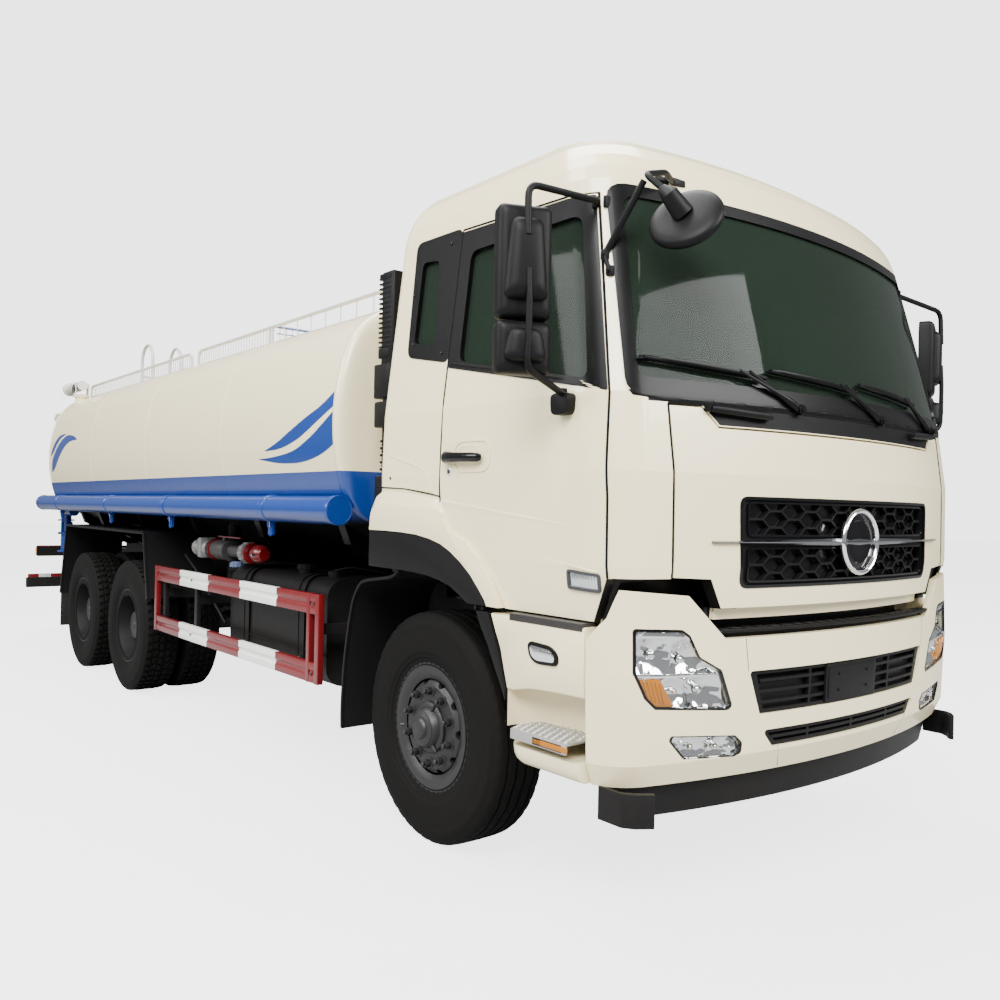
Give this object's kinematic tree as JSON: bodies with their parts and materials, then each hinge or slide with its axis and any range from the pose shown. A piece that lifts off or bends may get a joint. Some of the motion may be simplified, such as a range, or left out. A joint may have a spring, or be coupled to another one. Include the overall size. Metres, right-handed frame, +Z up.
{
  "type": "six-wheel tanker truck",
  "caption": "Cab-over water tanker truck: tilting cab, opening doors and front lid, oval tank, steered front and twin rear wheels, swivelling water cannon.",
  "frame": {"origin": "on the ground under the middle of the overall length, on the centre plane", "axes": "+Z up, +Y towards the rear of the truck, its front faces -Y; +X is the truck's left side"},
  "size_m": [3.1376, 9.74, 3.377],
  "materials": {
    "cab_paint": "gloss warm white paint",
    "tank_paint": "gloss warm white paint with a blue lower band",
    "blue_paint": "gloss blue paint",
    "guard_paint": "red and white striped paint",
    "chassis_paint": "satin black chassis paint",
    "black_plastic": "fine-grained black plastic",
    "glass": "tinted glass",
    "lamp_glass": "clear lamp lens",
    "tread_metal": "grey step tread",
    "chrome": "polished ring and bar",
    "rim_paint": "dark grey rim paint",
    "tyre_rubber": "tyre rubber",
    "seat_fabric": "grey seat cloth",
    "trim_plastic": "grey cabin trim",
    "rail_paint": "white painted tube",
    "tail_lens": "red and amber lens",
    "iron": "painted cast iron"
  },
  "bodies": {
    "chassis": {"chassis_frame": "chassis_paint", "tank_shell": "tank_paint", "hose_tubes": "blue_paint", "top_railings": "rail_paint", "rear_ladder": "rail_paint", "front_axle": "iron", "rear_axles": "iron", "leaf_springs": "iron", "engine": "iron", "front_mudguards": "black_plastic", "rear_fenders": "chassis_paint", "side_guards": "guard_paint", "fuel_tank": "chassis_paint", "battery_and_air_tanks": "chassis_paint", "water_pipework": "blue_paint", "intake_stack": "black_plastic", "light_bar": "chassis_paint", "underrun_bar": "chassis_paint", "tail_lamps": "tail_lens", "bumper": "cab_paint", "bumper_trim": "black_plastic", "front_lamps": "lamp_glass", "step_fairings": "cab_paint", "step_treads": "tread_metal"},
    "cab": {"cab_shell": "cab_paint", "cab_floor": "trim_plastic", "cab_glass": "glass", "arch_flares": "black_plastic", "cowl_and_wipers": "black_plastic", "front_mirror": "black_plastic", "dashboard": "trim_plastic", "seats": "seat_fabric"},
    "lid": {"front_lid": "cab_paint", "lid_grille": "black_plastic", "grille_bar": "chrome"},
    "right_door": {"door_right": "cab_paint", "door_glass_right": "glass", "mirrors_right": "black_plastic"},
    "left_door": {"door_left": "cab_paint", "door_glass_left": "glass", "mirrors_left": "black_plastic"},
    "steering": {"steering_wheel": "black_plastic"},
    "manhole": {"manhole_lid": "tank_paint"},
    "turret": {"cannon_turret": "rail_paint"},
    "barrel": {"cannon_barrel": "rail_paint"},
    "right_knuckle": {"knuckle_right": "iron"},
    "front_right_wheel": {"tyre_front_right": "tyre_rubber", "wheel_front_right": "rim_paint"},
    "middle_right_wheels": {"tyres_middle_right": "tyre_rubber", "wheels_middle_right": "rim_paint"},
    "rear_right_wheels": {"tyres_rear_right": "tyre_rubber", "wheels_rear_right": "rim_paint"},
    "left_knuckle": {"knuckle_left": "iron"},
    "front_left_wheel": {"tyre_front_left": "tyre_rubber", "wheel_front_left": "rim_paint"},
    "middle_left_wheels": {"tyres_middle_left": "tyre_rubber", "wheels_middle_left": "rim_paint"},
    "rear_left_wheels": {"tyres_rear_left": "tyre_rubber", "wheels_rear_left": "rim_paint"}
  },
  "joints": [
    {"name": "cab_tilt", "type": "hinge", "parent": "chassis", "child": "cab", "pos_m": [0, -4.74, 1.13], "axis": [1, 0, 0], "range_deg": [0, 50]},
    {"name": "right_door_hinge", "type": "hinge", "parent": "cab", "child": "right_door", "pos_m": [-1.254, -4.62, 1.9], "axis": [0, 0, 1], "range_deg": [0, 70]},
    {"name": "left_door_hinge", "type": "hinge", "parent": "cab", "child": "left_door", "pos_m": [1.254, -4.62, 1.9], "axis": [0, 0, -1], "range_deg": [0, 70]},
    {"name": "front_lid_hinge", "type": "hinge", "parent": "cab", "child": "lid", "pos_m": [0, -4.78, 1.96], "axis": [-1, 0, 0], "range_deg": [0, 65]},
    {"name": "steer_right", "type": "hinge", "parent": "chassis", "child": "right_knuckle", "pos_m": [-0.85, -3.37, 0.535], "axis": [0, 0, 1], "range_deg": [-35, 35]},
    {"name": "steer_left", "type": "hinge", "parent": "chassis", "child": "left_knuckle", "pos_m": [0.85, -3.37, 0.535], "axis": [0, 0, 1], "range_deg": [-35, 35]},
    {"name": "steering_wheel_turn", "type": "hinge", "parent": "cab", "child": "steering", "pos_m": [0.56, -4.17, 1.85], "axis": [0, 0.722, 0.6919], "range_deg": [-630, 630]},
    {"name": "front_right_spin", "type": "hinge", "parent": "right_knuckle", "child": "front_right_wheel", "pos_m": [-1.02, -3.37, 0.535], "axis": [1, 0, 0], "continuous": true},
    {"name": "middle_right_spin", "type": "hinge", "parent": "chassis", "child": "middle_right_wheels", "pos_m": [-1.094, 0.98, 0.535], "axis": [1, 0, 0], "continuous": true},
    {"name": "rear_right_spin", "type": "hinge", "parent": "chassis", "child": "rear_right_wheels", "pos_m": [-1.094, 2.33, 0.535], "axis": [1, 0, 0], "continuous": true},
    {"name": "front_left_spin", "type": "hinge", "parent": "left_knuckle", "child": "front_left_wheel", "pos_m": [1.02, -3.37, 0.535], "axis": [1, 0, 0], "continuous": true},
    {"name": "middle_left_spin", "type": "hinge", "parent": "chassis", "child": "middle_left_wheels", "pos_m": [1.094, 0.98, 0.535], "axis": [1, 0, 0], "continuous": true},
    {"name": "rear_left_spin", "type": "hinge", "parent": "chassis", "child": "rear_left_wheels", "pos_m": [1.094, 2.33, 0.535], "axis": [1, 0, 0], "continuous": true},
    {"name": "manhole_hinge", "type": "hinge", "parent": "chassis", "child": "manhole", "pos_m": [0, 0.345, 2.826], "axis": [1, 0, 0], "range_deg": [0, 110]},
    {"name": "cannon_yaw", "type": "hinge", "parent": "chassis", "child": "turret", "pos_m": [-0.96, 3.61, 2.668], "axis": [0, 0, 1], "range_deg": [0, 180]},
    {"name": "cannon_pitch", "type": "hinge", "parent": "turret", "child": "barrel", "pos_m": [-0.96, 3.61, 2.778], "axis": [1, 0, 0], "range_deg": [0, 70]}
  ],
  "couplings": [
    {"joint": "steer_left", "follows": "steer_right", "ratio": 1},
    {"joint": "steering_wheel_turn", "follows": "steer_right", "ratio": 18}
  ]
}
